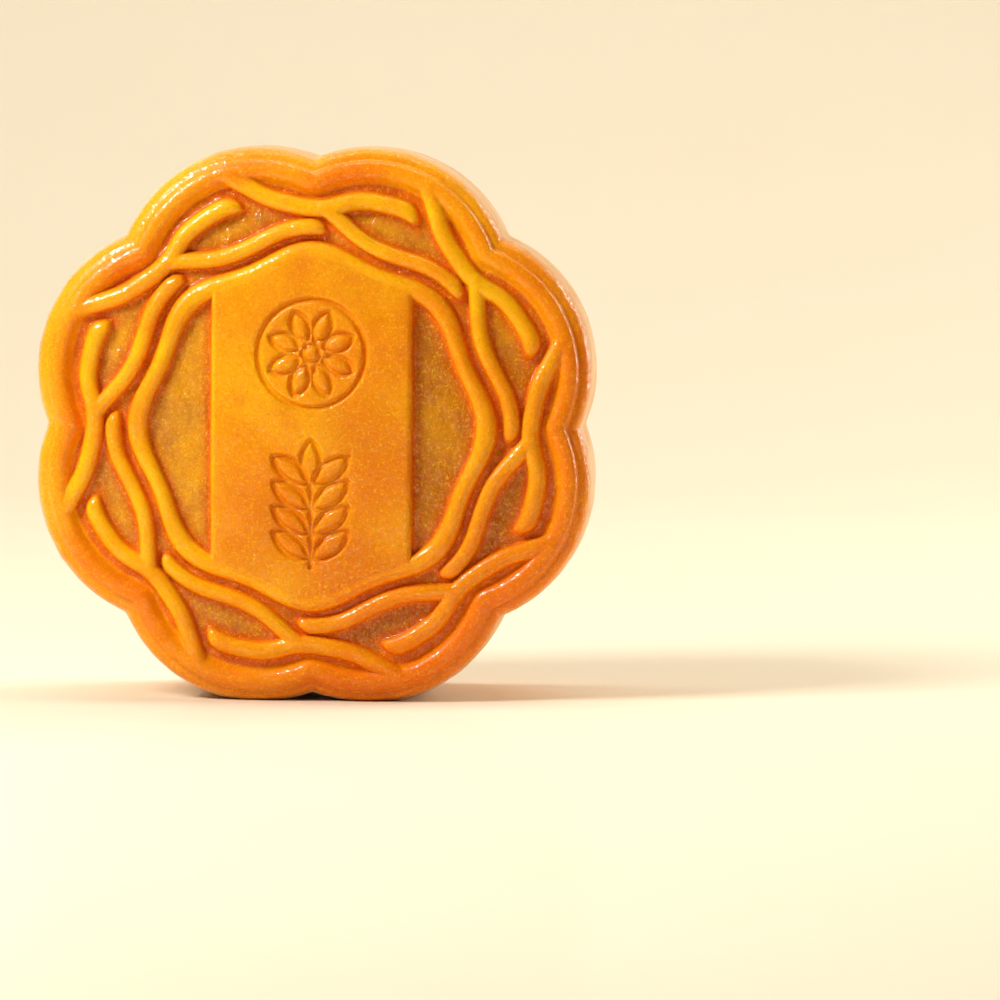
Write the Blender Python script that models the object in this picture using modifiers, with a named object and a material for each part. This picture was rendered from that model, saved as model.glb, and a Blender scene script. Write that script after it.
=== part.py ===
"""A baked mooncake with eight lobes and a moulded face, standing on two lobes of its edge.

The cake is modelled lying down, with its back on z = 0 and its face up, in millimetres.
The empty "stand" then turns it upright, so that the face looks along -Y with its top at +Z,
and scales it to metres. The origin is the middle of the cake's footprint on the surface.
"""

import math

import bmesh
import bpy

MM = 0.001

# Outline: eight round lobes, each an arc of LOBE_RADIUS about a point LOBE_OFFSET from the middle.
LOBES = 8
LOBE_STEP = 2 * math.pi / LOBES
LOBE_OFFSET = 19.0
LOBE_RADIUS = 19.0

# Thickness: height of the rim above the back, and how far the face rises to its middle.
RIM_HEIGHT = 30.3
DOME_RISE = 3.0
DOME_REACH = 36.0

# Edge: the wall swells to its girth, and is drawn in a little at the back.
GIRTH_HEIGHT = 19.4
GIRTH_SPREAD = 9.0
SWELL = 0.45
BACK_ROUND = 2.6
STAND_FLAT = 0.6
FLOOR_BLOCK = 100.0

# Relief: the depth of the sunken ground, and the raised band just inside the edge. The band's
# section runs from the ground outwards to the shoulder, as (inset, height above the rim).
RELIEF = 1.6
GROUND_INSET = 5.1
RIM_SECTION = (
    (4.3, -0.45),
    (3.7, -0.05),
    (2.9, 0.1),
    (2.2, -0.05),
    (1.75, -0.55),
    (1.3, -0.9),
    (0.8, -1.25),
    (0.5, -1.9),
)

# Strands, loop and panel that stand on the ground. Strands are half sunk rounds.
STRAND_RADIUS = 1.3
BRANCH_RADIUS = 1.15
LOOP_RADIUS = 1.35
LOOP_MIDDLE = 22.0
LOOP_WAVE = 0.7
PANEL_HALF_WIDTH = 13.0
PANEL_DROP = 0.1
PANEL_DEPTH = 2.5

# One strand of the wreath as (degrees clockwise from its notch, distance from the middle).
# It leaves the rim, passes under the notch and runs out towards the next strand.
STRAND = (
    (-19.5, 34.6),
    (-14.0, 31.4),
    (-7.5, 29.3),
    (0.0, 28.5),
    (7.5, 29.2),
    (14.5, 30.3),
    (20.5, 30.6),
    (26.7, 30.3),
)
# The branch leaves the strand past the notch, then runs at this distance outside the loop's line.
BRANCH_START = ((2.5, 28.8), (7.2, 27.0), (12.0, 25.6))
BRANCH_GAP = 3.3
BRANCH_BESIDE_LOOP = (18.5, 26.0, 33.5, 41.0, 48.5)

# How finely the surfaces are divided: shares of the outline for the rings on the ground and on
# the back, heights of the wall's rings, degrees of turn round the back edge, and counts.
GROUND_SHARES = (0.35, 0.7, 1.0)
WALL_HEIGHTS = (25.0, 19.4, 13.0, 7.5, 3.2)
BACK_TURNS = (25, 50, 75, 90)
BACK_SHARE = 0.5
OUTLINE_SEGMENTS = 96
STEPS_PER_POINT = 2
BAR_RESOLUTION = 2
LOOP_POINTS = 56
PANEL_COLUMNS = 6
PANEL_ROWS = 12
HALVINGS = 40
WELD = 0.001

CRUST_COLOUR = (0.80, 0.32, 0.02, 1.0)
CRUST_ROUGHNESS = 0.35
SHARP_DEGREES = 40


def outline_radius(angle, inset):
    """Distance from the middle to the lobed outline, drawn in by inset, in the direction angle."""
    off_axis = (angle % LOBE_STEP) - LOBE_STEP / 2
    across = LOBE_OFFSET * math.sin(off_axis)
    reach = LOBE_RADIUS - inset
    return LOBE_OFFSET * math.cos(off_axis) + math.sqrt(reach * reach - across * across)


def face_height(radius):
    """Height of the face's raised surface at this distance from the middle."""
    return RIM_HEIGHT + DOME_RISE * (1 - (radius / DOME_REACH) ** 2)


def ground_height(radius):
    """Height of the sunken ground between the raised parts."""
    return face_height(radius) - RELIEF


def loop_line(angle):
    """Distance from the middle to the inner loop's centre line: it swells outwards at each notch."""
    return LOOP_MIDDLE + LOOP_WAVE * math.cos(LOBES * angle)


def wall_inset(height):
    """How far the wall lies inside the girth at this height above the back."""
    return SWELL * ((height - GIRTH_HEIGHT) / GIRTH_SPREAD) ** 2


def body_rings():
    """The body's rings from the face to the back, as (share of the outline, inset, height).

    A height of None stands for the sunken ground.
    """
    rings = [(share, GROUND_INSET, None) for share in GROUND_SHARES]
    for inset, rise in RIM_SECTION:
        rings.append((1.0, inset, RIM_HEIGHT + rise))
    for height in WALL_HEIGHTS:
        rings.append((1.0, wall_inset(height), height))
    for turn in BACK_TURNS:
        across = BACK_ROUND * (1 - math.cos(math.radians(turn)))
        along = BACK_ROUND * (1 - math.sin(math.radians(turn)))
        rings.append((1.0, wall_inset(BACK_ROUND) + across, along))
    rings.append((BACK_SHARE, BACK_ROUND, 0.0))
    return rings


def ring_point(ring, angle):
    """The point of one ring in the direction angle."""
    share, inset, height = ring
    radius = share * outline_radius(angle, inset)
    if height is None:
        height = ground_height(radius)
    return radius * math.cos(angle), radius * math.sin(angle), height


def make_crust_material():
    material = bpy.data.materials.new("baked_crust")
    material.use_nodes = True
    shader = material.node_tree.nodes["Principled BSDF"]
    shader.inputs["Base Color"].default_value = CRUST_COLOUR
    shader.inputs["Roughness"].default_value = CRUST_ROUGHNESS
    return material


def add_object(name, mesh, collection, parent):
    """A mesh object in the cake's own lying frame, hung from the empty that stands it up."""
    obj = bpy.data.objects.new(name, mesh)
    collection.objects.link(obj)
    obj.parent = parent
    return obj


def set_as_helper(obj):
    obj.hide_render = True
    obj.display_type = "WIRE"


def make_body(collection, stand):
    """A sphere whose rings are moved onto the lobed rings of the cake."""
    rings = body_rings()
    bands = len(rings) + 1
    work = bmesh.new()
    bmesh.ops.create_uvsphere(work, u_segments=OUTLINE_SEGMENTS, v_segments=bands, radius=1.0)
    for vert in work.verts:
        place = round(math.acos(max(-1.0, min(1.0, vert.co.z))) / math.pi * bands)
        if place == 0:
            vert.co = (0.0, 0.0, ground_height(0.0))
        elif place == bands:
            vert.co = (0.0, 0.0, 0.0)
        else:
            vert.co = ring_point(rings[place - 1], math.atan2(vert.co.y, vert.co.x))
    mesh = bpy.data.meshes.new("mooncake")
    work.to_mesh(mesh)
    work.free()
    return add_object("mooncake", mesh, collection, stand)


def between(a, b, c, d, t):
    """The Catmull-Rom value from b (t = 0) to c (t = 1), with a before them and d after."""
    slope = c - a
    bend = 2 * a - 5 * b + 4 * c - d
    twist = 3 * b - a - 3 * c + d
    return b + 0.5 * t * (slope + t * (bend + t * twist))


def smooth_through(points):
    """Points along a smooth curve through the given (x, y) points."""
    ends = [points[0], *points, points[-1]]
    line = []
    for four in zip(ends, ends[1:], ends[2:], ends[3:]):
        for step in range(STEPS_PER_POINT):
            share = step / STEPS_PER_POINT
            line.append([between(*values, share) for values in zip(*four)])
    return [*line, points[-1]]


def on_notch(unit, polar):
    """(x, y) of a point given in degrees clockwise from the notch of this unit of the wreath."""
    degrees, radius = polar
    angle = math.pi / 2 - unit * LOBE_STEP - math.radians(degrees)
    return radius * math.cos(angle), radius * math.sin(angle)


def branch_points():
    """The branch's own points: its start, then a line that runs beside the loop."""
    points = list(BRANCH_START)
    for degrees in BRANCH_BESIDE_LOOP:
        points.append((degrees, loop_line(math.radians(degrees)) + BRANCH_GAP))
    return points


def make_round_bar(name, line, radius, closed, collection, stand):
    """A round bar along (x, y) points, sunk into the ground so that its top is level with the rim."""
    curve = bpy.data.curves.new(name, "CURVE")
    curve.dimensions = "3D"
    curve.bevel_depth = radius
    curve.bevel_resolution = BAR_RESOLUTION
    curve.use_fill_caps = not closed
    spline = curve.splines.new("POLY")
    spline.use_cyclic_u = closed
    spline.points.add(len(line) - 1)
    for point, (x, y) in zip(spline.points, line):
        point.co = (x, y, face_height(math.hypot(x, y)) - radius, 1.0)
    bar = bpy.data.objects.new(name, curve)
    collection.objects.link(bar)
    bpy.context.view_layer.update()
    evaluated = bar.evaluated_get(bpy.context.evaluated_depsgraph_get())
    mesh = bpy.data.meshes.new_from_object(evaluated)
    bpy.data.objects.remove(bar)
    work = bmesh.new()
    work.from_mesh(mesh)
    bmesh.ops.remove_doubles(work, verts=work.verts, dist=WELD)
    bmesh.ops.recalc_face_normals(work, faces=work.faces)
    work.to_mesh(mesh)
    work.free()
    return add_object(name, mesh, collection, stand)


def make_wreath(collection, stand):
    """Eight forked strands round the face, each the same as the last turned by one lobe."""
    branch = branch_points()
    for unit in range(LOBES):
        strand_line = smooth_through([on_notch(unit, point) for point in STRAND])
        branch_line = smooth_through([on_notch(unit, point) for point in branch])
        make_round_bar(f"strand_{unit}", strand_line, STRAND_RADIUS, False, collection, stand)
        make_round_bar(f"branch_{unit}", branch_line, BRANCH_RADIUS, False, collection, stand)


def make_loop(collection, stand):
    """The closed wavy bar round the middle of the face."""
    line = []
    for step in range(LOOP_POINTS):
        angle = 2 * math.pi * step / LOOP_POINTS
        radius = loop_line(angle)
        line.append((radius * math.cos(angle), radius * math.sin(angle)))
    make_round_bar("loop", line, LOOP_RADIUS, True, collection, stand)


def panel_half_length(x):
    """How far up the loop's centre line crosses the upright line at x."""
    low, high = 0.0, math.pi / 2
    for _ in range(HALVINGS):
        angle = (low + high) / 2
        if loop_line(angle) * math.cos(angle) > x:
            low = angle
        else:
            high = angle
    return loop_line(low) * math.sin(low)


def make_panel(collection, stand):
    """The upright panel across the loop: a grid laid on the domed face, with a thickness below it."""
    work = bmesh.new()
    bmesh.ops.create_grid(work, x_segments=PANEL_COLUMNS, y_segments=PANEL_ROWS, size=1.0)
    for vert in work.verts:
        x = vert.co.x * PANEL_HALF_WIDTH
        y = vert.co.y * panel_half_length(abs(x))
        vert.co = (x, y, face_height(math.hypot(x, y)) - PANEL_DROP)
    mesh = bpy.data.meshes.new("panel")
    work.to_mesh(mesh)
    work.free()
    panel = add_object("panel", mesh, collection, stand)
    thickness = panel.modifiers.new("thickness", "SOLIDIFY")
    thickness.thickness = PANEL_DEPTH
    thickness.offset = -1.0


def make_floor_cutter(collection):
    """A block under the standing surface: it leaves a small flat on each of the two lowest lobes."""
    work = bmesh.new()
    bmesh.ops.create_cube(work, size=FLOOR_BLOCK * MM)
    bmesh.ops.translate(work, verts=work.verts, vec=(0.0, 0.0, -FLOOR_BLOCK / 2 * MM))
    mesh = bpy.data.meshes.new("floor_block")
    work.to_mesh(mesh)
    work.free()
    block = bpy.data.objects.new("floor_block", mesh)
    collection.objects.link(block)
    set_as_helper(block)
    return block


def make_stand():
    """Turns the lying cake upright and brings it to metres, with its lowest lobes at z = 0."""
    stand = bpy.data.objects.new("stand", None)
    bpy.context.scene.collection.objects.link(stand)
    lowest = LOBE_OFFSET * math.cos(LOBE_STEP / 2) + LOBE_RADIUS
    middle = face_height(0.0) / 2
    stand.rotation_euler = (math.pi / 2, 0.0, 0.0)
    stand.location = (0.0, middle * MM, (lowest - STAND_FLAT) * MM)
    stand.scale = (MM, MM, MM)
    return stand


def main():
    for obj in list(bpy.data.objects):
        bpy.data.objects.remove(obj)
    cake = bpy.data.collections.new("mooncake")
    relief = bpy.data.collections.new("relief")
    cutters = bpy.data.collections.new("cutters")
    for collection in (cake, relief, cutters):
        bpy.context.scene.collection.children.link(collection)

    stand = make_stand()
    body = make_body(cake, stand)
    make_wreath(relief, stand)
    make_loop(relief, stand)
    make_panel(relief, stand)
    for obj in relief.objects:
        set_as_helper(obj)
    floor_block = make_floor_cutter(cutters)

    join = body.modifiers.new("relief", "BOOLEAN")
    join.operation = "UNION"
    join.operand_type = "COLLECTION"
    join.collection = relief
    trim = body.modifiers.new("standing_flats", "BOOLEAN")
    trim.operation = "DIFFERENCE"
    trim.object = floor_block

    body.data.materials.append(make_crust_material())
    body.data.shade_smooth()
    body.data.set_sharp_from_angle(angle=math.radians(SHARP_DEGREES))


main()
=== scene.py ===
"""The looks of the mooncake: its moulded, egg-washed crust, the pale stage, the light and the camera.

Lengths in the face's own frame are in millimetres: x to the right, y up the face, and a height
above the flat back. The CAD box gives the cake's width, thickness and place.
"""

import math

import bpy
import numpy as np
from mathutils import Matrix, Vector


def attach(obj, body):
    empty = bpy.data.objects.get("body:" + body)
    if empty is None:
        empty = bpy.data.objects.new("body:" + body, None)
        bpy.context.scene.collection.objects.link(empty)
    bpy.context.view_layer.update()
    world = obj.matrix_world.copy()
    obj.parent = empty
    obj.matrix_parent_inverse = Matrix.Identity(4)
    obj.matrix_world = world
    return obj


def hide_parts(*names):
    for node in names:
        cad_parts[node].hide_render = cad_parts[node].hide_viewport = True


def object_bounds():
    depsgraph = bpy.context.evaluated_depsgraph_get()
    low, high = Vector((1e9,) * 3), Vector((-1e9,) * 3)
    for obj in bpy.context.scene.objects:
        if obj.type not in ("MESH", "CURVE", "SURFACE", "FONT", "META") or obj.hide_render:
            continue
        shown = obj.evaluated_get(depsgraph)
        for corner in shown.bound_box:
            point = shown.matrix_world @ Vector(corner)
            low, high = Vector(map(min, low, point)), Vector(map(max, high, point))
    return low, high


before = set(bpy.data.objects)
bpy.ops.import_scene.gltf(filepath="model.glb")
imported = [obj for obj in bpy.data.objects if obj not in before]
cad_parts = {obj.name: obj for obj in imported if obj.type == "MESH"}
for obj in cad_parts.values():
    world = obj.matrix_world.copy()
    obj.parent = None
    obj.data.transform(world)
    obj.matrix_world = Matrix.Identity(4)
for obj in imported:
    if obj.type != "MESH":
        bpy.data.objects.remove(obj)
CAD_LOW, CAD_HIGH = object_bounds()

MM = 0.001

# ---------------------------------------------------------------- the cake's sizes, from its box
SKIN = 0.12  # how far the baked surface stays inside the CAD solid, so that its lumps have room
HALF_WIDTH = (CAD_HIGH.x - CAD_LOW.x) / 2 / MM
THICKNESS = (CAD_HIGH.y - CAD_LOW.y) / MM
CENTRE_X = (CAD_HIGH.x + CAD_LOW.x) / 2 / MM
BACK_Y = CAD_HIGH.y / MM
CENTRE_Z = CAD_HIGH.z / MM - HALF_WIDTH

LOBES = 8
LOBE_STEP = 2 * math.pi / LOBES
LOBE = (HALF_WIDTH - SKIN) / (1 + math.cos(LOBE_STEP / 2))  # radius and offset of each lobe

FACE_GAP = 0.06  # how far the dome's top lies behind the front of the CAD box
PEAK_GAP = 0.005  # no point of the face comes nearer to that front than this
FACE_MIDDLE = THICKNESS - FACE_GAP
DOME_RISE = 3.0
DOME_REACH = 36.0
RELIEF = 1.6

# The rim's section, from the sunken ground outwards: inset from the edge, share of the relief.
RIM_SECTION = (
    (5.15, 0.0),
    (4.85, 0.07),
    (4.55, 0.27),
    (4.25, 0.58),
    (3.9, 0.83),
    (3.45, 0.96),
    (2.95, 1.0),
    (2.5, 0.98),
    (2.2, 0.92),
    (2.02, 0.78),
    (1.9, 0.52),
    (1.8, 0.37),
    (1.66, 0.33),
    (1.4, 0.36),
    (1.1, 0.33),
    (0.8, 0.2),
    (0.55, -0.04),
)
# Towards the upper left the mould's step filled up, so the rim runs over into the shoulder there.
FILLED_SECTION = (
    *RIM_SECTION[:7],
    (2.5, 0.95),
    (2.15, 0.83),
    (1.9, 0.7),
    (1.65, 0.61),
    (1.4, 0.56),
    (1.1, 0.46),
    (0.8, 0.27),
    (0.55, 0.0),
)
FILLED_AT = math.radians(138)
FILLED_SPREAD = (0.35, 0.95)  # cosines of the angle from there where it begins and is complete
SHOULDER = ((0.38, 0.42), (0.25, 0.74), (0.14, 1.1), (0.06, 1.6), (0.02, 2.2))  # inset, drop in mm
RIM_BASE = 5.15
DEEP_RADIUS = 18.0  # further in than this, the lobes' circles run together and say nothing
DEEP_INSET = 12.0
EDGE_INSET = 0.55
NOTCH_INSETS = (2.0, 4.6)  # the notches get rounder between these insets
NOTCH_ROUNDING = (0.32, 1.6)

# The wall: it swells to its girth and is drawn in towards the back.
GIRTH_HEIGHT = 19.4
GIRTH_SPREAD = 9.0
SWELL = 0.45
BACK_ROUND = 2.6
BACK_GAP = 0.03  # keeps the back just inside the CAD box
WALL_TOP = 26.3
WALL_FOOT = BACK_ROUND + 0.5
WALL_RINGS = 38
BACK_EDGE_TURNS = (15, 90, 8)  # first and last degrees of the back's rounded edge, rings on it
WALL_FADE = (26.5, 28.5)  # the wall's unevenness ends between these heights
SHRINK_MEAN = 0.5  # the wall's shrinkage, as shares of the skin
SHRINK_MOST = 1.6
BACK_FADE = 1.2  # the back's unevenness ends at this height
BACK_ROUGHNESS = 0.12
BACK_ROUGH_RADII = (35.0, 33.0)
DISH = 0.45
DISH_RADIUS = 33.0
FLAT_SOFTNESS = 0.12  # rounds the edge of the flats that the cake stands on

# One strand of the wreath and its branch, as (degrees clockwise from the notch, radius).
STRAND = (
    (-19.5, 34.6),
    (-16.2, 32.6),
    (-11.1, 30.25),
    (-5.0, 28.95),
    (0.0, 28.45),
    (4.8, 28.65),
    (9.7, 29.65),
    (13.4, 30.15),
    (17.2, 30.4),
    (21.2, 30.6),
    (25.2, 30.55),
    (29.0, 30.3),
)
STRAND_CUT = ((13.85, 27.0), (1.0, 0.0))
BRANCH = (
    (2.6, 28.55),
    (5.2, 27.75),
    (8.4, 26.7),
    (12.4, 25.6),
    (16.9, 24.85),
    (21.5, 24.6),
    (26.5, 24.75),
    (31.0, 25.15),
    (35.7, 25.65),
    (41.0, 25.95),
    (46.9, 26.05),
    (52.0, 26.3),
)
BRANCH_CUT = ((19.75, 17.25), (0.97, -0.24))
STRAND_HALF = 1.36
BRANCH_HALF = 1.24
CUT_ROUND = 1.3
UNIT_SPAN = (-40.0, 70.0)  # the degrees from its notch that a strand and its branch stay within
UNIT_INNER = 15.0
FAR_OUTSIDE = -9.0

# The section of a raised part.
FLANK_POWER = 2.2
FLANK_FOOT = (-0.06, 0.3)
JOIN_ROUND = 0.16
WREATH_INSET = 2.0  # nearer to the edge than this, only the rim's section counts

LOOP_MIDDLE = 22.05
LOOP_WAVE = 0.68
LOOP_HALF = 1.4
LOOP_HALF_WAVE = 0.13

PANEL_HALF_WIDTH = 13.3
PANEL_EDGE = 0.95

# The ornament sunk into the panel: a rosette above and a leafy sprig below.
ROSETTE_CENTRE = (0.0, 9.6)
ROSETTE_RING = 7.0
PETALS = 8
PETAL_OUT = 3.75
PETAL_SIZE = (2.05, 1.12)
ROSETTE_EYE = 1.15
EYE_PAD = (0.2, 1.0)  # how far inside its line the eye starts to swell, and is full
SPRIG_TOP = -1.6
SPRIG_BOTTOM = -18.2
SPRIG_PAIRS = 4
SPRIG_TIP = 3.6  # the part of the sprig's height that its tip leaf takes
FIRST_PAIR = 0.35  # the first pair's height, as a share of the pairs' spacing
STEM_GAP = 0.35
LEAF_SIZE = (2.85, 1.22)
LEAF_TILT = math.radians(52)
LEAF_PAD = (0.25, 1.0)
LINE_HALF = 0.44
LINE_DEPTH = 0.58
PILLOW = 0.16

# Unevenness of the crust, as layers of (height in mm, wavelength in mm, seed).
FACE_LUMPS = ((0.035, 7.0, 11), (0.012, 1.6, 12))
GROUND_LUMPS = ((0.07, 3.4, 13), (0.025, 1.0, 14))
BACK_LUMPS = ((0.07, 6.0, 23), (0.03, 1.7, 24))
WALL_LUMPS = ((0.2, 11.0, 21), (0.12, 3.2, 22))  # the height is a share of the skin here
BAKE_LUMPS = ((0.07, 17.0, 31),)  # and a share of the random browning here, which lies over the painted shade towards the lower right

# The zones that the material colours: where each begins and where it is complete.
SIDE_BELOW_FACE = (1.66, 2.3)
RIM_INSETS = (5.6, 3.6)
SHOULDER_INSETS = (2.0, 1.8)
PANEL_DEPTHS = (0.0, 1.0)
LOW_HEIGHTS = (17.0, 2.0)
BACK_HEIGHTS = (3.4, 0.6)
DEPTH_RANGE = (-3.0, 2.0)
GROUND_SHARES = (0.0, 0.5)
ORNAMENT_DEPTHS = (1.0, 2.0)  # the ornament fades in between these depths inside the panel
SHADE_DIRECTION = (0.75, -0.65)  # painted shade: the crust is coloured darker towards the lower right, away from the key light
SHADE_SPAN = 76.0

FACE_SHELLS = 232  # the face's square shells; the wall has a quarter as many points around
WALL_SHELLS = FACE_SHELLS // 4
EDGE_SHELLS = 36  # shells that follow the rim's insets
INNER_INSET = 6.0
MOST_TRIANGLES = 190_000


# ---------------------------------------------------------------- small tools for arrays
def smooth_max(a, b, width):
    """The larger of a and b, rounded where they are within width of each other."""
    near = np.maximum(width - np.abs(a - b), 0.0) / width
    return np.maximum(a, b) + near * near * width / 4


def smooth_min(a, b, width):
    return -smooth_max(-a, -b, width)


def smooth_step(low, high, value):
    t = np.clip((value - low) / (high - low), 0.0, 1.0)
    return t * t * (3 - 2 * t)


def lumps(points, wavelength, seed, count=18):
    """A smooth uneven value with a root mean square of 1 at each of the points, in millimetres."""
    random = np.random.default_rng(seed)
    total = np.zeros(len(points))
    for _ in range(count):
        direction = random.normal(size=3)
        direction /= np.linalg.norm(direction)
        length = wavelength * random.uniform(0.65, 1.5)
        total += np.sin(points @ direction * (2 * math.pi / length) + random.uniform(0, 2 * math.pi))
    return total * math.sqrt(2 / count)


def uneven(points, layers):
    """The sum of layers of lumps, each given as (height, wavelength, seed)."""
    return sum(height * lumps(points, wavelength, seed) for height, wavelength, seed in layers)


# ---------------------------------------------------------------- outline and relief
def off_axis(angle):
    """The unsigned angle from the axis of the nearest lobe."""
    return np.abs(np.mod(angle, LOBE_STEP) - LOBE_STEP / 2)


def outline_radius(angle, inset):
    """Distance from the middle to the lobed outline, drawn in by inset, with its notches rounded."""
    near = off_axis(angle)
    reach = LOBE - inset
    arcs = [
        LOBE * np.cos(turn) + np.sqrt(np.maximum(reach * reach - (LOBE * np.sin(turn)) ** 2, 0.0))
        for turn in (near, LOBE_STEP - near)
    ]
    return smooth_max(arcs[0], arcs[1], NOTCH_ROUNDING[0])


def inset_of(x, y):
    """How far each point lies inside the outline. Notches are rounder further in."""
    radius, near = np.hypot(x, y), off_axis(np.arctan2(y, x))
    gaps = [
        np.sqrt(np.maximum(radius**2 + LOBE**2 - 2 * radius * LOBE * np.cos(turn), 0.0))
        for turn in (near, LOBE_STEP - near)
    ]
    rounding = np.interp(LOBE - np.minimum(*gaps), NOTCH_INSETS, NOTCH_ROUNDING)
    inset = LOBE - smooth_min(gaps[0], gaps[1], rounding)
    return np.where(radius < DEEP_RADIUS, DEEP_INSET, inset)


def face_height(x, y):
    """The height of the raised surface: a low dome."""
    return FACE_MIDDLE - DOME_RISE * (x * x + y * y) / DOME_REACH**2


def smooth_through(points, steps=4):
    """Points along a smooth curve through the given ones."""
    ends = np.array([points[0], *points, points[-1]], float)
    line = []
    for before, start, end, after in zip(ends, ends[1:], ends[2:], ends[3:]):
        for t in np.arange(steps) / steps:
            bend = 2 * before - 5 * start + 4 * end - after
            twist = 3 * start - before - 3 * end + after
            line.append(start + 0.5 * t * (end - before + t * (bend + t * twist)))
    return np.array([*line, ends[-1]])


def from_notch(polar):
    """(x, y) of points given as degrees clockwise from the top notch and radius."""
    return [
        (radius * math.sin(math.radians(degrees)), radius * math.cos(math.radians(degrees)))
        for degrees, radius in polar
    ]


def bar_depth(x, y, line, half_width, cut):
    """How deep each point lies inside a bar along the line, which ends at a straight cut."""
    nearest = np.full(len(x), np.inf)
    for (ax, ay), (bx, by) in zip(line, line[1:]):
        run_x, run_y = bx - ax, by - ay
        t = ((x - ax) * run_x + (y - ay) * run_y) / (run_x**2 + run_y**2)
        t = np.clip(t, 0.0, 1.0)
        nearest = np.minimum(nearest, np.hypot(x - ax - t * run_x, y - ay - t * run_y))
    (cut_x, cut_y), (normal_x, normal_y) = cut
    before_cut = (cut_x - x) * normal_x + (cut_y - y) * normal_y
    return smooth_min(half_width - nearest, before_cut, CUT_ROUND)


def wreath_depth(x, y):
    """How deep each point lies inside the strands, and inside their branches."""
    strand_line = smooth_through(from_notch(STRAND))
    branch_line = smooth_through(from_notch(BRANCH))
    strands, branches = np.full(len(x), FAR_OUTSIDE), np.full(len(x), FAR_OUTSIDE)
    clockwise = math.pi / 2 - np.arctan2(y, x)
    outside = np.hypot(x, y) > UNIT_INNER
    for unit in range(LOBES):
        turn = unit * LOBE_STEP
        off = np.degrees(np.mod(clockwise - turn + math.pi, 2 * math.pi) - math.pi)
        here = (off > UNIT_SPAN[0]) & (off < UNIT_SPAN[1]) & outside
        unit_x = x[here] * math.cos(turn) - y[here] * math.sin(turn)
        unit_y = x[here] * math.sin(turn) + y[here] * math.cos(turn)
        strand = bar_depth(unit_x, unit_y, strand_line, STRAND_HALF, STRAND_CUT)
        branch = bar_depth(unit_x, unit_y, branch_line, BRANCH_HALF, BRANCH_CUT)
        strands[here] = np.maximum(strands[here], strand)
        branches[here] = np.maximum(branches[here], branch)
    return strands, branches


def loop_depth(x, y):
    radius, wave = np.hypot(x, y), np.cos(LOBES * np.arctan2(y, x))
    return LOOP_HALF + LOOP_HALF_WAVE * wave - np.abs(radius - LOOP_MIDDLE - LOOP_WAVE * wave)


def panel_depth(x, y):
    radius, wave = np.hypot(x, y), np.cos(LOBES * np.arctan2(y, x))
    return np.minimum(PANEL_HALF_WIDTH - np.abs(x), LOOP_MIDDLE + LOOP_WAVE * wave - radius)


def raised_parts(x, y):
    """The depth inside each raised part but the rim, and the width of that part's flank."""
    strands, branches = wreath_depth(x, y)
    return (
        (strands, STRAND_HALF),
        (branches, BRANCH_HALF),
        (loop_depth(x, y), LOOP_HALF),
        (panel_depth(x, y), PANEL_EDGE),
    )


def raised_section(depth, flank_width):
    """The share of the relief at a depth inside a raised part: a rounded flank, then a flat top."""
    across = np.clip(depth / flank_width, 0.0, 1.0)
    return np.sqrt(1 - (1 - across) ** FLANK_POWER) * smooth_step(*FLANK_FOOT, depth)


def relief_share(x, y):
    """How far each point of the face is raised, as a share of the relief."""
    inset = inset_of(x, y)
    sharp, filled = (
        np.interp(inset, *zip(*reversed(section))) for section in (RIM_SECTION, FILLED_SECTION)
    )
    fill = smooth_step(*FILLED_SPREAD, np.cos(np.arctan2(y, x) - FILLED_AT))
    share = sharp + (filled - sharp) * fill
    for depth, flank_width in raised_parts(x, y):
        joined = smooth_max(share, raised_section(depth, flank_width), JOIN_ROUND)
        share = np.where(inset > WREATH_INSET, joined, share)
    return share


def raised_depth(x, y):
    """How deep each point lies inside any raised part; below 0 on the sunken ground."""
    depths = [depth for depth, _ in raised_parts(x, y)]
    return np.maximum.reduce([*depths, RIM_BASE - inset_of(x, y)])


def leaf_distance(x, y, half_length, half_width):
    """Signed distance to a pointed leaf that lies along y."""
    x, y = np.abs(x), np.abs(y)
    reach = (half_length**2 + half_width**2) / (2 * half_width)
    offset = reach - half_width
    tip = (y - half_length) * offset > x * half_length
    return np.where(tip, np.hypot(x, y - half_length), np.hypot(x + offset, y) - reach)


def turned_leaf(x, y, centre, tilt, size):
    """Signed distance to a leaf whose length leans by tilt, clockwise from straight up."""
    dx, dy = x - centre[0], y - centre[1]
    across = dx * math.cos(tilt) - dy * math.sin(tilt)
    along = dx * math.sin(tilt) + dy * math.cos(tilt)
    return leaf_distance(across, along, *size)


def rosette_petals(x, y):
    """Signed distances to the petals, round a rosette's middle."""
    petals = []
    for petal in range(PETALS):
        tilt = 2 * math.pi * (petal + 0.5) / PETALS
        centre = (PETAL_OUT * math.sin(tilt), PETAL_OUT * math.cos(tilt))
        petals.append(turned_leaf(x, y, centre, tilt, PETAL_SIZE))
    return petals


def sprig_leaves(x, y):
    """Signed distances to the sprig's paired leaves and to its tip leaf."""
    half_length = LEAF_SIZE[0]
    spacing = (SPRIG_TOP - SPRIG_TIP - SPRIG_BOTTOM) / SPRIG_PAIRS
    leaves = []
    for pair in range(SPRIG_PAIRS):
        foot = SPRIG_BOTTOM + (pair + FIRST_PAIR) * spacing
        for side in (-1, 1):
            centre_x = side * (STEM_GAP + half_length * math.sin(LEAF_TILT))
            centre = (centre_x, foot + half_length * math.cos(LEAF_TILT))
            leaves.append(turned_leaf(x, y, centre, side * LEAF_TILT, LEAF_SIZE))
    leaves.append(turned_leaf(x, y, (0.0, SPRIG_TOP - half_length), 0.0, LEAF_SIZE))
    return leaves


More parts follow.
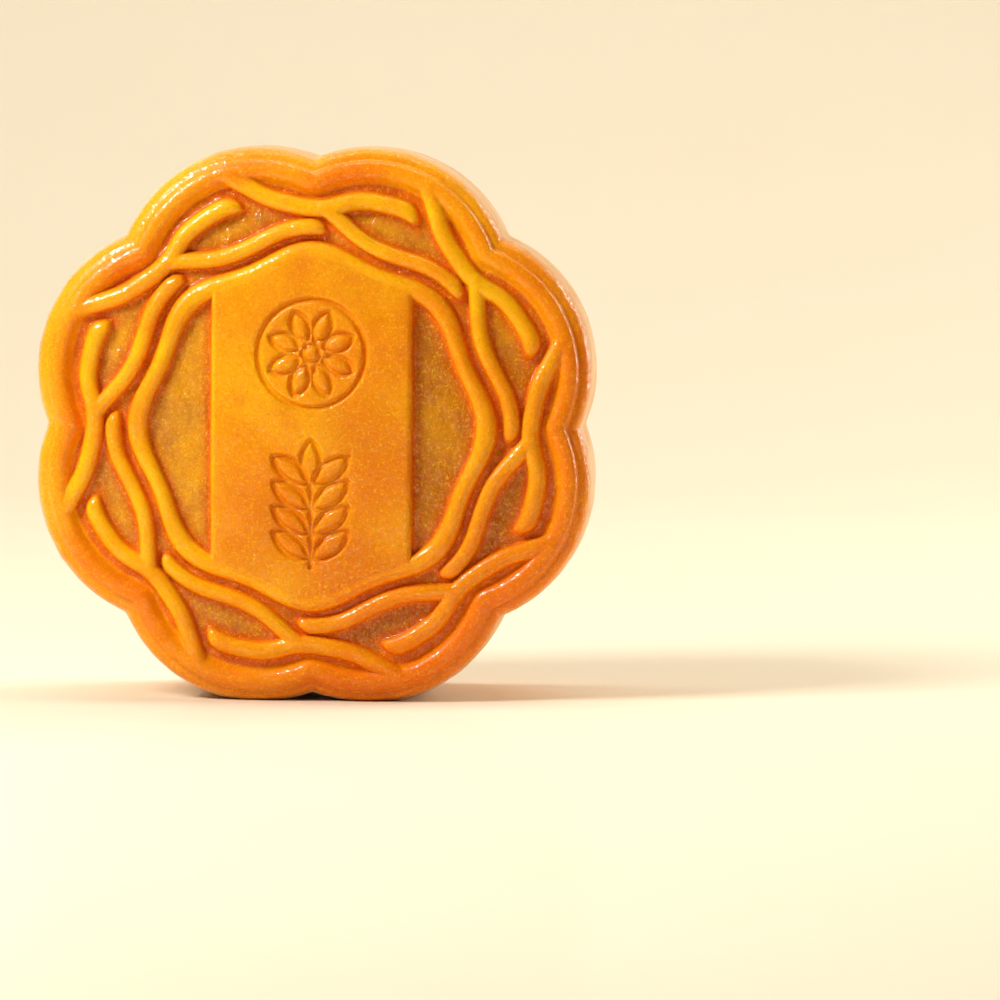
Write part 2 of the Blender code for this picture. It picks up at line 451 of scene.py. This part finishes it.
def ornament(x, y):
    """How far the ornament lifts (above 0) or sinks (below 0) the panel, in millimetres."""
    rosette_x, rosette_y = x - ROSETTE_CENTRE[0], y - ROSETTE_CENTRE[1]
    radius = np.hypot(rosette_x, rosette_y)
    stem_top = SPRIG_TOP - 2 * LEAF_SIZE[0]
    stem = np.hypot(x, y - np.clip(y, SPRIG_BOTTOM, stem_top))
    leaves = rosette_petals(rosette_x, rosette_y) + sprig_leaves(x, y)
    lines = [np.abs(radius - ROSETTE_RING), np.abs(radius - ROSETTE_EYE), stem]
    lines = np.minimum.reduce([*lines, *(np.abs(leaf) for leaf in leaves)])
    pads = [smooth_step(*EYE_PAD, ROSETTE_EYE - radius)]
    pads = np.maximum.reduce([*pads, *(smooth_step(*LEAF_PAD, -leaf) for leaf in leaves)])
    sunk = np.clip(1 - (lines / LINE_HALF) ** 2, 0.0, 1.0)
    return PILLOW * pads * (1 - sunk) - LINE_DEPTH * sunk


def face_surface(x, y):
    """The height of the face over the back at each point."""
    share = relief_share(x, y)
    height = face_height(x, y) - RELIEF * (1 - share)
    height += smooth_step(*ORNAMENT_DEPTHS, panel_depth(x, y)) * ornament(x, y)
    flat = np.stack([x, y, np.zeros_like(x)], 1)
    height += uneven(flat, FACE_LUMPS)
    ground = 1 - smooth_step(*GROUND_SHARES, share)
    height += ground * uneven(flat, GROUND_LUMPS)
    return np.minimum(height, THICKNESS - PEAK_GAP)


# ---------------------------------------------------------------- the mesh
def shell_grid(shells):
    """A square lattice as (shell number, angle) of each point, its quads, and its outer ring's order."""
    side = np.arange(-shells, shells + 1)
    i, j = (axis.ravel() for axis in np.meshgrid(side, side, indexing="ij"))
    shell = np.maximum(np.abs(i), np.abs(j))
    safe = np.maximum(shell, 1)
    steep = np.abs(j) > np.abs(i)
    eighth = math.pi / 4
    upright = 2 * eighth - eighth * i / safe * np.sign(j)
    level = eighth * j / safe * np.sign(i)
    angle = np.where(steep, upright, level)
    opposite = np.where(steep, j, i) < 0
    angle = np.where(opposite, angle + 4 * eighth, angle)
    count = 2 * shells + 1
    corner = (np.arange(count - 1)[:, None] * count + np.arange(count - 1)).ravel()
    quads = np.stack([corner, corner + count, corner + count + 1, corner + 1], 1)
    outer = np.flatnonzero(shell == shells)
    ring = outer[np.argsort(np.round(np.mod(angle[outer], 2 * math.pi) * 4 * shells / math.pi))]
    return shell, angle, quads, ring


def ring_angles(shells):
    """The angles of the points on a shell grid's outer ring, in its order."""
    return 2 * math.pi * np.arange(8 * shells) / (8 * shells)


def polar_points(radius, angle, height):
    """Points (x, y, height) from their distances and angles round the middle."""
    heights = np.broadcast_to(height, radius.shape)
    return np.stack([radius * np.cos(angle), radius * np.sin(angle), heights], 1)


def quad_strip(ring, following):
    """Quads between the point numbers of two rings with as many points."""
    return np.stack([ring, following, np.roll(following, -1), np.roll(ring, -1)], 1)


def narrowing_strip(ring, following):
    """Triangles from a ring of point numbers to one with a whole number of times fewer points."""
    ratio = len(ring) // len(following)
    triangles = []
    for step, near in enumerate(following):
        after = following[(step + 1) % len(following)]
        for part in range(step * ratio, (step + 1) * ratio):
            apex = near if part < step * ratio + ratio // 2 else after
            triangles.append((ring[part], apex, ring[(part + 1) % len(ring)]))
        triangles.append((ring[step * ratio + ratio // 2], near, after))
    return triangles


def wall_inset(height):
    """How far the wall is drawn in from its girth at a height."""
    return SWELL * ((height - GIRTH_HEIGHT) / GIRTH_SPREAD) ** 2


def wall_rings():
    """The wall from under the shoulder to the back as (inset, height) pairs."""
    heights = np.linspace(WALL_TOP, WALL_FOOT, WALL_RINGS)
    rings = [(wall_inset(height), height) for height in heights]
    for turn in np.radians(np.linspace(*BACK_EDGE_TURNS)):
        inset = wall_inset(BACK_ROUND) + BACK_ROUND * (1 - math.cos(turn))
        rings.append((inset, BACK_ROUND * (1 - math.sin(turn))))
    return rings


def cake_points():
    """The cake's points as (x, y, height), its quads, and the triangles below the shoulder."""
    shell, angle, face_quads, face_ring = shell_grid(FACE_SHELLS)
    inner = FACE_SHELLS - EDGE_SHELLS
    inset = np.interp(shell, (inner, FACE_SHELLS), (INNER_INSET, EDGE_INSET))
    radius = outline_radius(angle, inset) * np.minimum(shell / inner, 1.0)
    surface = face_surface(radius * np.cos(angle), radius * np.sin(angle))
    blocks, quads = [polar_points(radius, angle, surface)], [face_quads]

    *wall, (back_inset, back_height) = wall_rings()
    fine, coarse = ring_angles(FACE_SHELLS), ring_angles(WALL_SHELLS)
    edge = surface[face_ring]
    rings = [polar_points(outline_radius(fine, inset), fine, edge - drop) for inset, drop in SHOULDER]
    rings += [polar_points(outline_radius(coarse, inset), coarse, height) for inset, height in wall]

    triangles = []
    total = len(shell)
    previous = face_ring
    for ring in rings:
        numbers = total + np.arange(len(ring))
        if len(numbers) < len(previous):
            triangles += narrowing_strip(previous, numbers)
        else:
            quads.append(quad_strip(previous, numbers))
        blocks.append(ring)
        total += len(ring)
        previous = numbers

    shell, angle, back_quads, back_ring = shell_grid(WALL_SHELLS)
    radius = outline_radius(angle, back_inset) * shell / WALL_SHELLS
    blocks.append(polar_points(radius, angle, back_height))
    quads.append(back_quads[:, ::-1] + total)
    quads.append(quad_strip(previous, back_ring + total))
    return np.concatenate(blocks), np.concatenate(quads), triangles


def weather_wall(points):
    """Gives the wall and the back the soft unevenness of a baked crust, always inwards."""
    side = 1 - smooth_step(*WALL_FADE, points[:, 2])
    swing = SHRINK_MEAN + uneven(points, WALL_LUMPS)
    shrink = side * SKIN * np.clip(swing, 0.0, SHRINK_MOST)
    radius = np.hypot(points[:, 0], points[:, 1])
    points[:, :2] *= (1 - shrink / np.maximum(radius, 1.0))[:, None]
    back = 1 - smooth_step(0.0, BACK_FADE, points[:, 2])
    dish = DISH * (1 - np.clip(radius / DISH_RADIUS, 0.0, 1.0) ** 2)
    rough = np.clip(uneven(points, BACK_LUMPS) + BACK_ROUGHNESS, 0.0, 1.0)
    points[:, 2] += back * (dish + rough * smooth_step(*BACK_ROUGH_RADII, radius))
    points[:, 2] = np.maximum(points[:, 2], BACK_GAP)
    return points


def stand_up(points):
    """Face frame to the row frame in metres, with the lowest lobes pressed flat on the surface."""
    x = CENTRE_X + points[:, 0]
    y = BACK_Y - points[:, 2]
    z = CENTRE_Z + points[:, 1]
    z = (z + np.sqrt(z**2 + FLAT_SOFTNESS**2)) / 2
    return np.stack([x, y, z], 1) * MM


def face_frame(world):
    """Row frame in metres back to the face frame."""
    x, y, z = (world / MM).T
    return np.stack([x - CENTRE_X, z - CENTRE_Z, BACK_Y - y], 1)


def make_cake():
    points, quads, triangles = cake_points()
    points = weather_wall(points)
    dense = bpy.data.meshes.new("crust_dense")
    dense.from_pydata(stand_up(points).tolist(), [], quads.tolist() + triangles)
    dense.validate()
    cake = bpy.data.objects.new("mooncake_crust", dense)
    bpy.context.scene.collection.objects.link(cake)
    dense.calc_loop_triangles()
    thin = cake.modifiers.new("thin", "DECIMATE")
    thin.ratio = min(1.0, MOST_TRIANGLES / len(dense.loop_triangles))
    graph = bpy.context.evaluated_depsgraph_get()
    cake.data = bpy.data.meshes.new_from_object(cake.evaluated_get(graph))
    cake.modifiers.clear()
    bpy.data.meshes.remove(dense)
    cake.data.name = "mooncake_crust"
    cake.data.shade_smooth()
    mark_zones(cake.data)
    return cake


def mark_zones(mesh):
    """Writes what the crust material needs to know about each point."""
    world = np.empty(len(mesh.vertices) * 3, np.float32)
    mesh.vertices.foreach_get("co", world)
    points = face_frame(world.reshape(-1, 3).astype(float))
    x, y, height = points.T
    inset = inset_of(x, y)
    side = smooth_step(*SIDE_BELOW_FACE, face_height(x, y) - height)
    face = 1 - side
    slope = (SHADE_DIRECTION[0] * x + SHADE_DIRECTION[1] * y) / SHADE_SPAN
    marks = {
        "depth": np.clip(raised_depth(x, y), *DEPTH_RANGE) * face + DEPTH_RANGE[1] * side,
        "rim": smooth_step(*RIM_INSETS, inset) * face,
        "shoulder": smooth_step(*SHOULDER_INSETS, inset) * face,
        "panel": smooth_step(*PANEL_DEPTHS, panel_depth(x, y)) * face,
        "side": side,
        "low": smooth_step(*LOW_HEIGHTS, height),
        "back": smooth_step(*BACK_HEIGHTS, height),
        # painted shade: darker towards the lower right, with random browning patches over it
        "shade_and_browning": np.clip(0.5 + slope + uneven(points, BAKE_LUMPS), 0.0, 1.0),
    }
    for name, values in marks.items():
        attribute = mesh.attributes.new(name, "FLOAT", "POINT")
        attribute.data.foreach_set("value", values.astype(np.float32))


# ---------------------------------------------------------------- materials
MIX_COLOURS = (6, 7)  # a Mix node has several sockets of one name; these are its two colours
MIX_RESULT = 2

# The crust's tones: a first colour, then stains over it. A stain is a colour, what drives it,
# where it begins, where it is complete, and the share that it then takes.
RIDGE = (
    (255, 186, 8),
    ((250, 158, 6), "broad", 0.35, 0.68, 1.0),
    ((242, 130, 6), "middling", 0.45, 0.75, 0.4),
    # painted shade towards the lower right, with random browning patches
    ((236, 120, 6), "shade_and_browning", 0.35, 0.95, 0.7),
)
PLAQUE = (
    (247, 168, 8),
    ((238, 140, 8), "broad", 0.34, 0.66, 1.0),
    ((230, 122, 6), "middling", 0.5, 0.75, 0.5),
    # painted shade towards the lower right, with random browning patches
    ((224, 116, 6), "shade_and_browning", 0.45, 0.75, 0.75),
)
RIM = (
    (251, 154, 12),
    ((241, 118, 8), "broad", 0.35, 0.65, 1.0),
)
SHOULDER_TONE = (
    (251, 166, 22),
    ((245, 145, 14), "broad", 0.35, 0.65, 1.0),
)
# painted shade towards the lower right on the rim, with random browning patches
RIM_SHADE_AND_BROWNING = ((232, 106, 8), "shade_and_browning", 0.36, 0.9, 0.7)
RIM_SHARE = 0.9
GROUND = (
    (232, 158, 14),
    ((206, 136, 34), "broad", 0.36, 0.62, 1.0),
    ((184, 104, 30), "middling", 0.45, 0.72, 0.75),
    # painted shade towards the lower right, with random browning patches
    ((170, 82, 14), "shade_and_browning", 0.4, 0.85, 0.85),
    # painted shade on the sunken ground near the raised parts
    ((206, 98, 8), "depth", -1.7, -0.2, 0.75),
    ((236, 180, 60), "fine", 0.5, 0.75, 0.4),
)
# painted shade at the feet and lower flanks of the raised parts
FLANK_SHADE = (
    (232, 110, 4),
    ((218, 90, 4), "middling", 0.3, 0.7, 1.0),
)
# painted shade at the foot of the rim's inner slope
RIM_FLANK_SHADE = (220, 86, 4)
# the depths where the painted shade at the feet of the raised parts fades in
FLANK_SHADE_DEPTHS = (-0.5, 0.0)
TOP_DEPTHS = (0.0, 0.5)
FACE_GRAIN = (
    ((255, 206, 30), "grain", 0.5, 0.78, 0.7),
    ((228, 104, 6), "grain", 0.45, 0.25, 0.5),
)
# partly painted light: the wall's own tan is coloured paler here, standing for the lamp light on it
WALL = (
    (238, 190, 140),
    ((224, 166, 104), "broad", 0.35, 0.65, 1.0),
)
WALL_LOW = (230, 142, 52)
WALL_STAINS = (
    ((190, 118, 54), "middling", 0.5, 0.75, 0.4),
    ((242, 200, 152), "grain", 0.42, 0.7, 0.6),
    ((196, 134, 62), "grain", 0.42, 0.25, 0.5),
)
UNDERSIDE = (
    (188, 122, 58),
    ((158, 92, 38), "middling", 0.35, 0.65, 1.0),
    ((214, 160, 100), "fine", 0.52, 0.7, 0.5),
)
CRUST_SHADER = {
    "Specular IOR Level": 0.1,
    "Coat Roughness": 0.16,
    "Subsurface Weight": 0.18,
    "Subsurface Scale": 0.002,
    "Subsurface Radius": (1.0, 0.4, 0.12),
}
CARD_TONES = ((240, 224, 194), (242, 227, 198))
CARD_SHADER = {
    "Roughness": 0.6,
    "Specular IOR Level": 0.0,
    "Coat Weight": 0.12,
    "Coat Roughness": 0.16,
}


def colour(red, green, blue):
    """An sRGB colour from 0 to 255 as the linear colour that a shader takes."""
    linear = []
    for value in (red / 255, green / 255, blue / 255):
        linear.append(value / 12.92 if value <= 0.04045 else ((value + 0.055) / 1.055) ** 2.4)
    return (*linear, 1.0)


class Nodes:
    """Short calls for building a material's nodes."""

    def __init__(self, name):
        self.material = bpy.data.materials.new(name)
        self.material.use_nodes = True
        self.tree = self.material.node_tree
        self.shader = self.tree.nodes["Principled BSDF"]
        place = self.tree.nodes.new("ShaderNodeTexCoord")
        self.place = place.outputs["Object"]

    def link(self, source, target):
        self.tree.links.new(source, target)

    def put(self, target, value):
        """Links a socket to the target, or writes a plain value there."""
        if isinstance(value, bpy.types.NodeSocket):
            self.link(value, target)
        else:
            target.default_value = value

    def finish_shader(self, linked, settings):
        """Puts sockets and plain settings on the shader's own inputs."""
        for name, value in (linked | settings).items():
            self.put(self.shader.inputs[name], value)

    def mark(self, name):
        node = self.tree.nodes.new("ShaderNodeAttribute")
        node.attribute_name = name
        return node.outputs["Fac"]

    def noise(self, size_mm, detail=2.0, roughness=0.5, shift=0.0):
        """Noise whose lumps are about size_mm across; its mean is about 0.5."""
        node = self.tree.nodes.new("ShaderNodeTexNoise")
        node.noise_dimensions = "4D" if shift else "3D"
        node.inputs["Scale"].default_value = 1 / (size_mm * MM)
        node.inputs["Detail"].default_value = detail
        node.inputs["Roughness"].default_value = roughness
        if shift:
            node.inputs["W"].default_value = shift
        self.link(self.place, node.inputs["Vector"])
        return node.outputs["Fac"]

    def ramp(self, value, low, high, to_low=0.0, to_high=1.0):
        """Goes smoothly from to_low to to_high while the value goes from low to high."""
        node = self.tree.nodes.new("ShaderNodeMapRange")
        node.interpolation_type = "SMOOTHSTEP"
        limits = {"From Min": low, "From Max": high, "To Min": to_low, "To Max": to_high}
        for name, limit in limits.items():
            self.put(node.inputs[name], limit)
        self.link(value, node.inputs["Value"])
        return node.outputs["Result"]

    def times(self, first, second):
        node = self.tree.nodes.new("ShaderNodeMath")
        node.operation = "MULTIPLY"
        self.put(node.inputs[0], first)
        self.put(node.inputs[1], second)
        return node.outputs[0]

    def mix(self, share, first, second):
        node = self.tree.nodes.new("ShaderNodeMix")
        node.data_type = "RGBA"
        self.put(node.inputs["Factor"], share)
        for socket, value in zip(MIX_COLOURS, (first, second)):
            self.put(node.inputs[socket], value)
        return node.outputs[MIX_RESULT]

    def stain(self, tone, drivers, *stains):
        """The tone with stains over it, each driven by one of the drivers."""
        for tint, driver, low, high, most in stains:
            share = self.ramp(drivers[driver], low, high, 0.0, most)
            tone = self.mix(share, tone, colour(*tint))
        return tone

    def tone(self, drivers, first, *stains):
        return self.stain(colour(*first), drivers, *stains)

    def bump(self, height, distance_mm, strength=1.0, below=None):
        node = self.tree.nodes.new("ShaderNodeBump")
        node.inputs["Distance"].default_value = distance_mm * MM
        self.put(node.inputs["Strength"], strength)
        self.link(height, node.inputs["Height"])
        if below is not None:
            self.link(below, node.inputs["Normal"])
        return node.outputs["Normal"]


def face_tone(n, drivers):
    """The face's colour: sunken ground, darker flanks as painted shade, painted shade towards the lower
    right, and golden ridges, panel and rim.
    """
    rim = n.mark("rim")
    ridge = n.mix(n.mark("panel"), n.tone(drivers, *RIDGE), n.tone(drivers, *PLAQUE))
    edge = n.mix(n.mark("shoulder"), n.tone(drivers, *RIM), n.tone(drivers, *SHOULDER_TONE))
    # painted shade towards the lower right on the rim and shoulder
    edge = n.stain(edge, drivers, RIM_SHADE_AND_BROWNING)
    ridge = n.mix(n.times(rim, RIM_SHARE), ridge, edge)
    # painted shade at the feet of the raised parts, redder by the rim
    flank_shade = n.mix(rim, n.tone(drivers, *FLANK_SHADE), colour(*RIM_FLANK_SHADE))
    tone = n.mix(n.ramp(drivers["depth"], *FLANK_SHADE_DEPTHS), n.tone(drivers, *GROUND), flank_shade)
    tone = n.mix(n.ramp(drivers["depth"], *TOP_DEPTHS), tone, ridge)
    return n.stain(tone, drivers, *FACE_GRAIN)


def wall_tone(n, drivers):
    """The wall's colour: pale under the shoulder, partly its own tan and partly painted light, golden
    lower down, brown on the back.
    """
    wall = n.mix(n.mark("low"), n.tone(drivers, *WALL), colour(*WALL_LOW))
    wall = n.stain(wall, drivers, *WALL_STAINS)
    return n.mix(n.mark("back"), wall, n.tone(drivers, *UNDERSIDE))


def glaze_weight(n, side):
    """How much egg glaze lies on the crust: in patches of small spots, with little on the wall."""
    patches = n.ramp(n.noise(3.0, 3, shift=8.2), 0.3, 0.6, 0.5, 1.0)
    spots = n.ramp(n.noise(0.5, 2, 0.6, shift=6.6), 0.46, 0.56, 0.03, 1.0)
    return n.times(n.times(patches, spots), n.ramp(side, 0.0, 1.0, 1.0, 0.06))


def make_crust_material():
    n = Nodes("baked_crust")
    side = n.mark("side")
    drivers = {
        "depth": n.mark("depth"),
        # painted shade towards the lower right, with random browning patches
        "shade_and_browning": n.mark("shade_and_browning"),
        "broad": n.noise(14, 2),
        "middling": n.noise(4.5, 3, shift=3.1),
        "fine": n.noise(0.55, 2, shift=1.7),
        "grain": n.noise(0.26, 2, 0.6, shift=5.3),
    }
    strength = n.ramp(drivers["depth"], 0.0, -0.7, 0.55, 1.0)
    soft = n.bump(n.noise(2.2, 3), 0.1, 0.5)
    linked = {
        "Base Color": n.mix(side, face_tone(n, drivers), wall_tone(n, drivers)),
        "Roughness": n.ramp(drivers["middling"], 0.3, 0.7, 0.34, 0.5),
        "Coat Weight": glaze_weight(n, side),
        "Normal": n.bump(drivers["grain"], 0.07, strength, soft),
        "Coat Normal": n.bump(n.noise(0.5, 2, 0.5, shift=9.4), 0.2, strength, soft),
    }
    n.finish_shader(linked, CRUST_SHADER)
    return n.material


def make_stage_material():
    n = Nodes("pale_card")
    card = n.mix(n.noise(60, 2), *(colour(*tone) for tone in CARD_TONES))
    n.finish_shader({"Base Color": card}, CARD_SHADER)
    return n.material


# ---------------------------------------------------------------- stage, light and camera
STAGE_HALF_WIDTH = 1.6
STAGE_FRONT = -1.6
STAGE_BACK = 0.9
STAGE_HEIGHT = 1.8
STAGE_BEND = 0.5
STAGE_BEND_TURNS = (7.5, 82.5, 11)  # first and last degrees of the bend, number of lines

FACE_SPOT = (0.0, -0.01, CENTRE_Z * MM)
# Each lamp's place and aim in metres, its size in metres, and its power in watts.
LAMPS = {
    "key": ((-0.34, -0.28, 0.40), FACE_SPOT, (0.2, 0.2), 3.3),
    "glint": ((-0.34, -0.30, 0.42), FACE_SPOT, (0.08, 0.08), 5.0),
    "overhead": ((0.0, 0.5, 1.0), (0.0, 0.2, 0.0), (1.4, 0.6), 1.8),
    "right": ((0.5, 0.3, 0.2), FACE_SPOT, (0.3, 0.5), 2.7),
    "backdrop": ((0.0, 0.1, 1.5), (0.0, 0.9, 0.3), (1.6, 0.4), 13.0),
}
AMBIENT = 0.04

# Where the camera stands, seen from the middle of the face, and what its picture covers.
VIEW_RIGHT = math.radians(5.0)
VIEW_UP = math.radians(3.0)
VIEW_ROLL = math.radians(0.38)
VIEW_DISTANCE = 0.9
VIEW_WIDTH = 0.130
FACE_DEPTH = 0.0022  # how far behind the CAD box's front the middle of the face is taken
FACE_LEFT_OF_CENTRE = 0.1885  # shares of the picture's width
FACE_ABOVE_CENTRE = 0.0722
SENSOR = 36.0
VIEW_END = 20.0


def make_stage():
    """A plain pale floor that curves up into a backdrop."""
    section = [(STAGE_FRONT, 0.0), (STAGE_BACK - STAGE_BEND, 0.0)]
    for turn in np.radians(np.linspace(*STAGE_BEND_TURNS)):
        y = STAGE_BACK - STAGE_BEND + STAGE_BEND * math.sin(turn)
        section.append((y, STAGE_BEND - STAGE_BEND * math.cos(turn)))
    section += [(STAGE_BACK, STAGE_BEND), (STAGE_BACK, STAGE_HEIGHT)]
    points = [(side * STAGE_HALF_WIDTH, y, z) for y, z in section for side in (-1, 1)]
    faces = [(2 * i, 2 * i + 1, 2 * i + 3, 2 * i + 2) for i in range(len(section) - 1)]
    mesh = bpy.data.meshes.new("stage")
    mesh.from_pydata(points, [], faces)
    mesh.shade_smooth()
    stage = bpy.data.objects.new("stage", mesh)
    bpy.context.scene.collection.objects.link(stage)
    mesh.materials.append(make_stage_material())


def add_softbox(name, place, aim, size, power):
    lamp = bpy.data.lights.new(name, "AREA")
    lamp.shape = "RECTANGLE"
    lamp.size, lamp.size_y = size
    lamp.energy = power
    box = bpy.data.objects.new(name, lamp)
    bpy.context.scene.collection.objects.link(box)
    box.location = place
    box.rotation_euler = (Vector(aim) - Vector(place)).to_track_quat("-Z", "Y").to_euler()
    return box


def make_lights():
    boxes = {name: add_softbox(name, *lamp) for name, lamp in LAMPS.items()}
    boxes["key"].visible_glossy = False
    boxes["glint"].visible_diffuse = False
    world = bpy.data.worlds.new("studio")
    bpy.context.scene.world = world
    world.use_nodes = True
    background = world.node_tree.nodes["Background"]
    background.inputs["Color"].default_value = (1.0, 1.0, 1.0, 1.0)
    background.inputs["Strength"].default_value = AMBIENT


def make_camera():
    face = Vector((CENTRE_X * MM, CAD_LOW.y + FACE_DEPTH, CENTRE_Z * MM))
    towards = Vector((
        math.sin(VIEW_RIGHT) * math.cos(VIEW_UP),
        -math.cos(VIEW_RIGHT) * math.cos(VIEW_UP),
        math.sin(VIEW_UP),
    ))
    place = face + towards * VIEW_DISTANCE
    right = Vector((math.cos(VIEW_RIGHT), math.sin(VIEW_RIGHT), 0.0))
    up = towards.cross(right)
    aim = face + right * FACE_LEFT_OF_CENTRE * VIEW_WIDTH - up * FACE_ABOVE_CENTRE * VIEW_WIDTH
    data = bpy.data.cameras.new("camera")
    data.sensor_width = SENSOR
    data.lens = SENSOR * VIEW_DISTANCE / VIEW_WIDTH
    data.clip_end = VIEW_END
    camera = bpy.data.objects.new("camera", data)
    bpy.context.scene.collection.objects.link(camera)
    turn = (aim - place).to_track_quat("-Z", "Y").to_matrix().to_4x4()
    camera.matrix_world = Matrix.Translation(place) @ turn @ Matrix.Rotation(VIEW_ROLL, 4, "Z")
    bpy.context.scene.camera = camera


def main():
    scene = bpy.context.scene
    scene.view_settings.view_transform = "Standard"
    cake = make_cake()
    cake.data.materials.append(make_crust_material())
    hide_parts("mooncake")
    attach(cake, "root")
    make_stage()
    make_lights()
    make_camera()


main()
